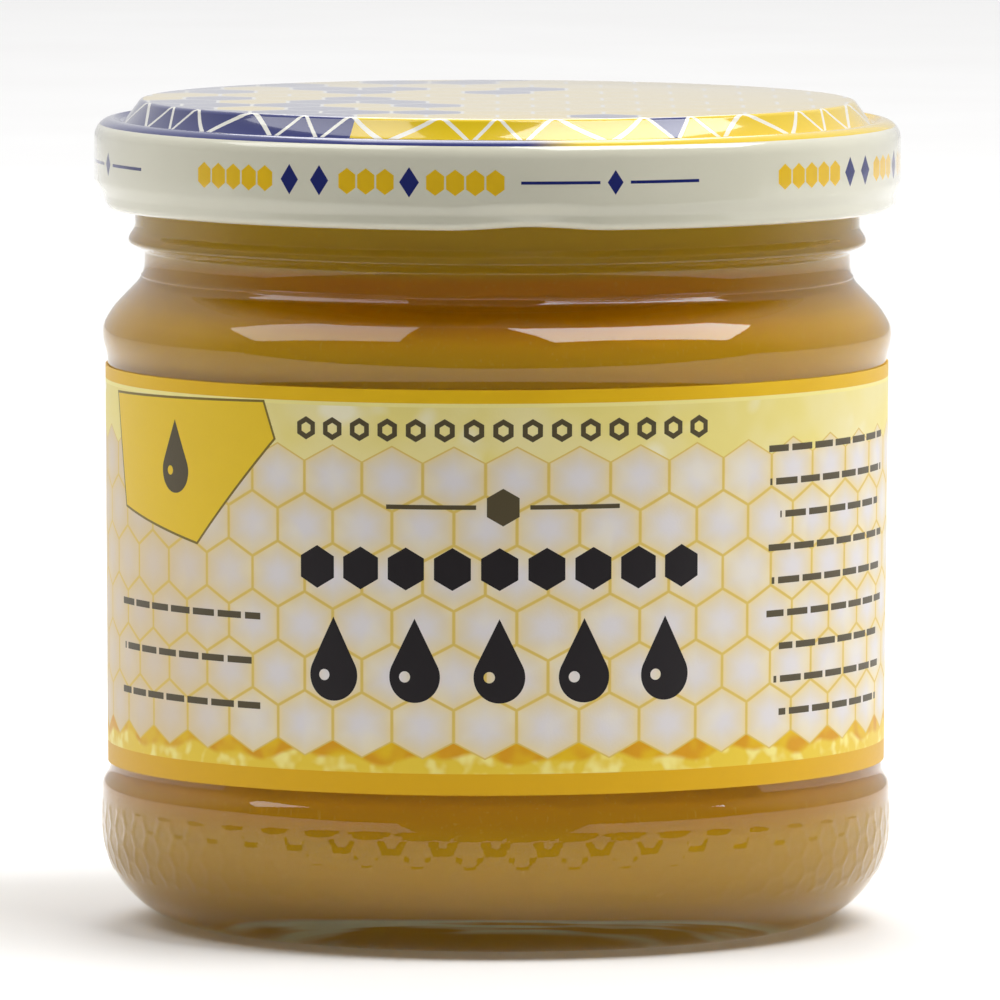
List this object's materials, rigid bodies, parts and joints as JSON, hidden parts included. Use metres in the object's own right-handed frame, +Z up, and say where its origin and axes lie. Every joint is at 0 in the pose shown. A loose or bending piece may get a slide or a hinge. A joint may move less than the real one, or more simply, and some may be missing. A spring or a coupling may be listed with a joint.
{
  "type": "honey jar",
  "caption": "Round shut glass jar of creamed honey with a printed metal twist lid and a wrap-round honeycomb paper label.",
  "frame": {"origin": "middle of the ring the jar stands on", "axes": "+Z up along the jar's axis, -Y out of the front of the label"},
  "size_m": [0.073, 0.073, 0.0746],
  "materials": {
    "clear_glass": "clear, faintly green, smooth",
    "creamed_honey": "opaque creamed honey, ochre, moist",
    "label_paper": "coated paper, printed honeycomb",
    "lid_lacquer": "glossy cream lacquer on tinplate"
  },
  "bodies": {
    "root": {"glass_jar": "clear_glass", "honey": "creamed_honey", "label": "label_paper", "lid": "lid_lacquer"}
  },
  "joints": []
}
